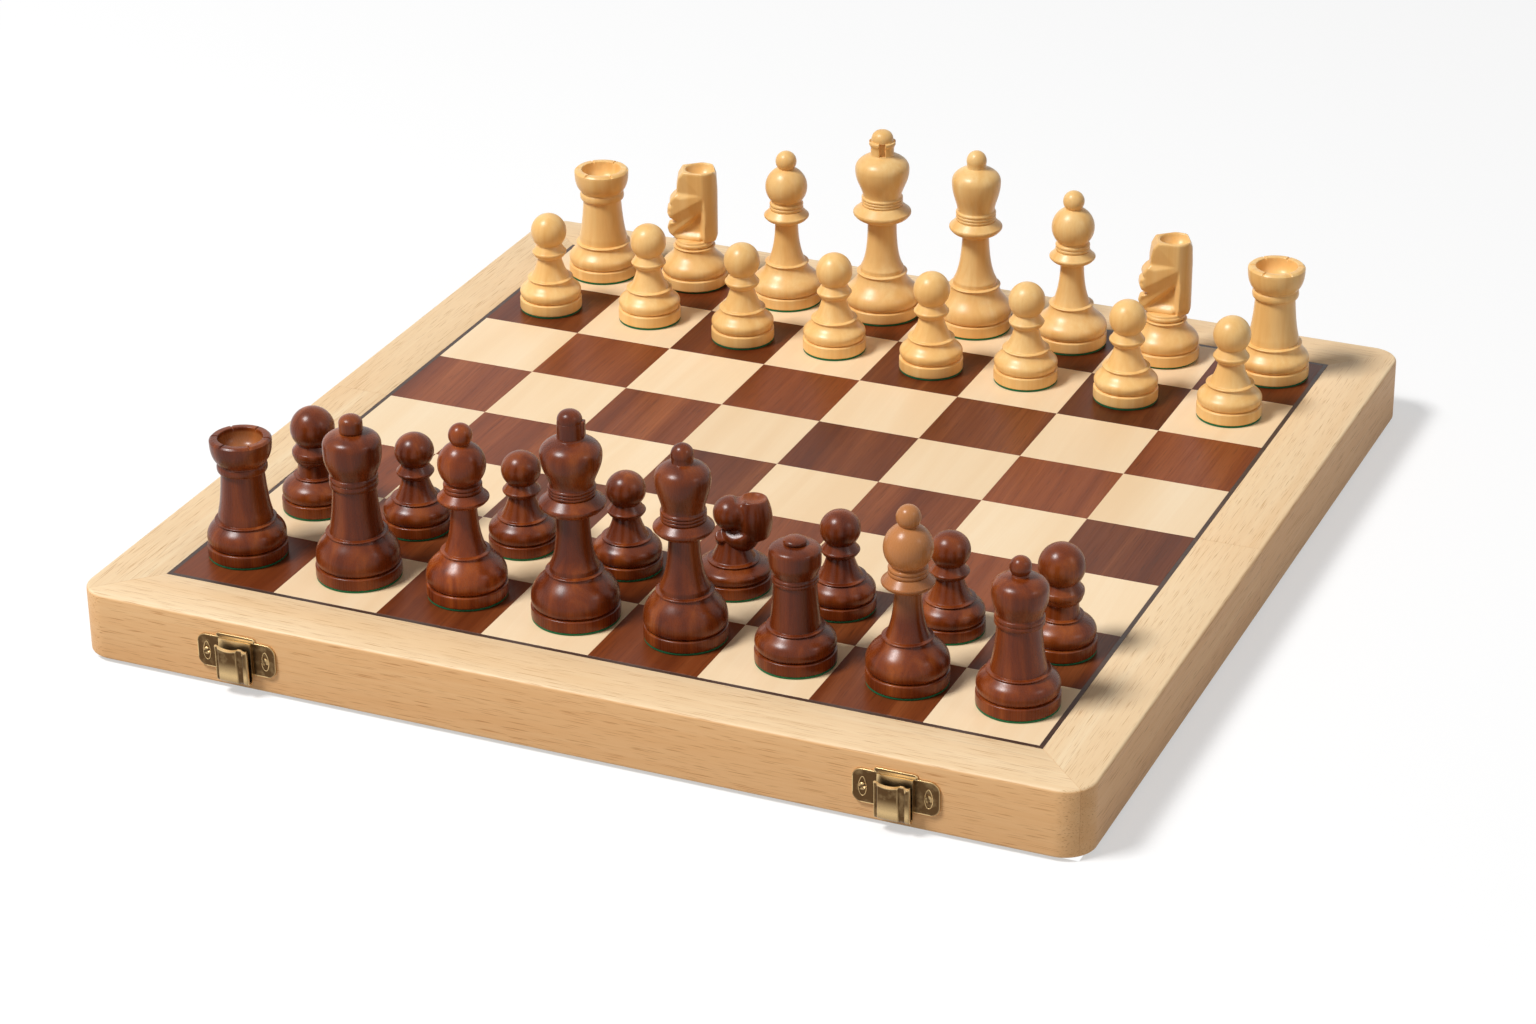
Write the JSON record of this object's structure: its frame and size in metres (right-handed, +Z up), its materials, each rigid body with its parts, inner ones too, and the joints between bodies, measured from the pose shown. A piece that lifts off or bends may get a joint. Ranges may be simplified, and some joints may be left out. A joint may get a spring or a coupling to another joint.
{
  "type": "chess set with folding board",
  "caption": "Folding wooden chess board in two hinged trays with brass latches, and turned wooden chess men, light and dark, set up for a game.",
  "frame": {"origin": "middle of the fold line, on the surface that the open board stands on", "axes": "+X to the right along the fold, seen from the dark men's side; +Y away from the dark men towards the light men; +Z up"},
  "size_m": [0.462, 0.476, 0.1296],
  "materials": {
    "oak_rails": "satin",
    "veneer_panels": "satin",
    "stringing": "satin",
    "light_men": "satin lacquer",
    "dark_men": "gloss lacquer",
    "baize": "matte",
    "antique_brass": "worn antique"
  },
  "bodies": {
    "far_half": {"far_back_rail": "oak_rails", "far_left_rail": "oak_rails", "far_right_rail": "oak_rails", "far_seam_rail": "oak_rails", "far_playing_panel": "veneer_panels", "far_stringing": "stringing", "far_tray_lining": "baize", "left_latch_base": "antique_brass", "right_latch_base": "antique_brass", "left_hinge_far_leaf": "antique_brass", "right_hinge_far_leaf": "antique_brass", "left_hinge_pin": "antique_brass", "right_hinge_pin": "antique_brass"},
    "near_half": {"near_front_rail": "oak_rails", "near_left_rail": "oak_rails", "near_right_rail": "oak_rails", "near_seam_rail": "oak_rails", "near_playing_panel": "veneer_panels", "near_stringing": "stringing", "near_tray_lining": "baize", "left_hook_plate": "antique_brass", "right_hook_plate": "antique_brass", "left_hinge_near_leaf": "antique_brass", "right_hinge_near_leaf": "antique_brass"},
    "left_lever": {"left_latch_lever": "antique_brass"},
    "left_loop": {"left_latch_loop": "antique_brass"},
    "right_lever": {"right_latch_lever": "antique_brass"},
    "right_loop": {"right_latch_loop": "antique_brass"},
    "dark_rook_h8_man": {"dark_rook_h8": "dark_men"},
    "dark_tall_capped_man_g8_man": {"dark_tall_capped_man_g8": "dark_men"},
    "dark_bishop_f8_man": {"dark_bishop_f8": "dark_men"},
    "dark_king_e8_man": {"dark_king_e8": "dark_men"},
    "dark_queen_d8_man": {"dark_queen_d8": "dark_men"},
    "dark_flat_capped_man_c8_man": {"dark_flat_capped_man_c8": "dark_men"},
    "dark_bishop_b8_man": {"dark_bishop_b8": "dark_men"},
    "dark_short_capped_man_a8_man": {"dark_short_capped_man_a8": "dark_men"},
    "dark_collared_pawn_h7_man": {"dark_collared_pawn_h7": "dark_men"},
    "dark_pawn_g7_man": {"dark_pawn_g7": "dark_men"},
    "dark_pawn_f7_man": {"dark_pawn_f7": "dark_men"},
    "dark_pawn_e7_man": {"dark_pawn_e7": "dark_men"},
    "dark_knight_d7_man": {"dark_knight_d7": "dark_men"},
    "dark_pawn_c7_man": {"dark_pawn_c7": "dark_men"},
    "dark_pawn_b7_man": {"dark_pawn_b7": "dark_men"},
    "dark_collared_pawn_a7_man": {"dark_collared_pawn_a7": "dark_men"},
    "light_pawn_h2_man": {"light_pawn_h2": "light_men"},
    "light_pawn_g2_man": {"light_pawn_g2": "light_men"},
    "light_pawn_f2_man": {"light_pawn_f2": "light_men"},
    "light_pawn_e2_man": {"light_pawn_e2": "light_men"},
    "light_pawn_d2_man": {"light_pawn_d2": "light_men"},
    "light_pawn_c2_man": {"light_pawn_c2": "light_men"},
    "light_pawn_b2_man": {"light_pawn_b2": "light_men"},
    "light_pawn_a2_man": {"light_pawn_a2": "light_men"},
    "light_rook_h1_man": {"light_rook_h1": "light_men"},
    "light_knight_g1_man": {"light_knight_g1": "light_men"},
    "light_bishop_f1_man": {"light_bishop_f1": "light_men"},
    "light_king_e1_man": {"light_king_e1": "light_men"},
    "light_queen_d1_man": {"light_queen_d1": "light_men"},
    "light_bishop_c1_man": {"light_bishop_c1": "light_men"},
    "light_knight_b1_man": {"light_knight_b1": "light_men"},
    "light_rook_a1_man": {"light_rook_a1": "light_men"}
  },
  "joints": [
    {"name": "fold", "type": "hinge", "parent": "far_half", "child": "near_half", "pos_m": [0, 0, 0.0014], "axis": [1, 0, 0], "range_deg": [0, 180]},
    {"name": "left_lever", "type": "hinge", "parent": "far_half", "child": "left_lever", "pos_m": [-0.151, 0.2344, 0.00655], "axis": [-1, 0, 0], "range_deg": [0, 120]},
    {"name": "left_loop", "type": "hinge", "parent": "left_lever", "child": "left_loop", "pos_m": [-0.151, 0.2344, 0.01255], "axis": [1, 0, 0], "range_deg": [-180, 0]},
    {"name": "right_lever", "type": "hinge", "parent": "far_half", "child": "right_lever", "pos_m": [0.151, 0.2344, 0.00655], "axis": [-1, 0, 0], "range_deg": [0, 120]},
    {"name": "right_loop", "type": "hinge", "parent": "right_lever", "child": "right_loop", "pos_m": [0.151, 0.2344, 0.01255], "axis": [1, 0, 0], "range_deg": [-180, 0]},
    {"name": "lift_dark_rook_h8", "type": "slide", "parent": "near_half", "child": "dark_rook_h8_man", "axis": [0, 0, 1], "range_m": [0, 0.12]},
    {"name": "lift_dark_tall_capped_man_g8", "type": "slide", "parent": "near_half", "child": "dark_tall_capped_man_g8_man", "axis": [0, 0, 1], "range_m": [0, 0.12]},
    {"name": "lift_dark_bishop_f8", "type": "slide", "parent": "near_half", "child": "dark_bishop_f8_man", "axis": [0, 0, 1], "range_m": [0, 0.12]},
    {"name": "lift_dark_king_e8", "type": "slide", "parent": "near_half", "child": "dark_king_e8_man", "axis": [0, 0, 1], "range_m": [0, 0.12]},
    {"name": "lift_dark_queen_d8", "type": "slide", "parent": "near_half", "child": "dark_queen_d8_man", "axis": [0, 0, 1], "range_m": [0, 0.12]},
    {"name": "lift_dark_flat_capped_man_c8", "type": "slide", "parent": "near_half", "child": "dark_flat_capped_man_c8_man", "axis": [0, 0, 1], "range_m": [0, 0.12]},
    {"name": "lift_dark_bishop_b8", "type": "slide", "parent": "near_half", "child": "dark_bishop_b8_man", "axis": [0, 0, 1], "range_m": [0, 0.12]},
    {"name": "lift_dark_short_capped_man_a8", "type": "slide", "parent": "near_half", "child": "dark_short_capped_man_a8_man", "axis": [0, 0, 1], "range_m": [0, 0.12]},
    {"name": "lift_dark_collared_pawn_h7", "type": "slide", "parent": "near_half", "child": "dark_collared_pawn_h7_man", "axis": [0, 0, 1], "range_m": [0, 0.12]},
    {"name": "lift_dark_pawn_g7", "type": "slide", "parent": "near_half", "child": "dark_pawn_g7_man", "axis": [0, 0, 1], "range_m": [0, 0.12]},
    {"name": "lift_dark_pawn_f7", "type": "slide", "parent": "near_half", "child": "dark_pawn_f7_man", "axis": [0, 0, 1], "range_m": [0, 0.12]},
    {"name": "lift_dark_pawn_e7", "type": "slide", "parent": "near_half", "child": "dark_pawn_e7_man", "axis": [0, 0, 1], "range_m": [0, 0.12]},
    {"name": "lift_dark_knight_d7", "type": "slide", "parent": "near_half", "child": "dark_knight_d7_man", "axis": [0, 0, 1], "range_m": [0, 0.12]},
    {"name": "lift_dark_pawn_c7", "type": "slide", "parent": "near_half", "child": "dark_pawn_c7_man", "axis": [0, 0, 1], "range_m": [0, 0.12]},
    {"name": "lift_dark_pawn_b7", "type": "slide", "parent": "near_half", "child": "dark_pawn_b7_man", "axis": [0, 0, 1], "range_m": [0, 0.12]},
    {"name": "lift_dark_collared_pawn_a7", "type": "slide", "parent": "near_half", "child": "dark_collared_pawn_a7_man", "axis": [0, 0, 1], "range_m": [0, 0.12]},
    {"name": "lift_light_pawn_h2", "type": "slide", "parent": "far_half", "child": "light_pawn_h2_man", "axis": [0, 0, 1], "range_m": [0, 0.12]},
    {"name": "lift_light_pawn_g2", "type": "slide", "parent": "far_half", "child": "light_pawn_g2_man", "axis": [0, 0, 1], "range_m": [0, 0.12]},
    {"name": "lift_light_pawn_f2", "type": "slide", "parent": "far_half", "child": "light_pawn_f2_man", "axis": [0, 0, 1], "range_m": [0, 0.12]},
    {"name": "lift_light_pawn_e2", "type": "slide", "parent": "far_half", "child": "light_pawn_e2_man", "axis": [0, 0, 1], "range_m": [0, 0.12]},
    {"name": "lift_light_pawn_d2", "type": "slide", "parent": "far_half", "child": "light_pawn_d2_man", "axis": [0, 0, 1], "range_m": [0, 0.12]},
    {"name": "lift_light_pawn_c2", "type": "slide", "parent": "far_half", "child": "light_pawn_c2_man", "axis": [0, 0, 1], "range_m": [0, 0.12]},
    {"name": "lift_light_pawn_b2", "type": "slide", "parent": "far_half", "child": "light_pawn_b2_man", "axis": [0, 0, 1], "range_m": [0, 0.12]},
    {"name": "lift_light_pawn_a2", "type": "slide", "parent": "far_half", "child": "light_pawn_a2_man", "axis": [0, 0, 1], "range_m": [0, 0.12]},
    {"name": "lift_light_rook_h1", "type": "slide", "parent": "far_half", "child": "light_rook_h1_man", "axis": [0, 0, 1], "range_m": [0, 0.12]},
    {"name": "lift_light_knight_g1", "type": "slide", "parent": "far_half", "child": "light_knight_g1_man", "axis": [0, 0, 1], "range_m": [0, 0.12]},
    {"name": "lift_light_bishop_f1", "type": "slide", "parent": "far_half", "child": "light_bishop_f1_man", "axis": [0, 0, 1], "range_m": [0, 0.12]},
    {"name": "lift_light_king_e1", "type": "slide", "parent": "far_half", "child": "light_king_e1_man", "axis": [0, 0, 1], "range_m": [0, 0.12]},
    {"name": "lift_light_queen_d1", "type": "slide", "parent": "far_half", "child": "light_queen_d1_man", "axis": [0, 0, 1], "range_m": [0, 0.12]},
    {"name": "lift_light_bishop_c1", "type": "slide", "parent": "far_half", "child": "light_bishop_c1_man", "axis": [0, 0, 1], "range_m": [0, 0.12]},
    {"name": "lift_light_knight_b1", "type": "slide", "parent": "far_half", "child": "light_knight_b1_man", "axis": [0, 0, 1], "range_m": [0, 0.12]},
    {"name": "lift_light_rook_a1", "type": "slide", "parent": "far_half", "child": "light_rook_a1_man", "axis": [0, 0, 1], "range_m": [0, 0.12]}
  ]
}
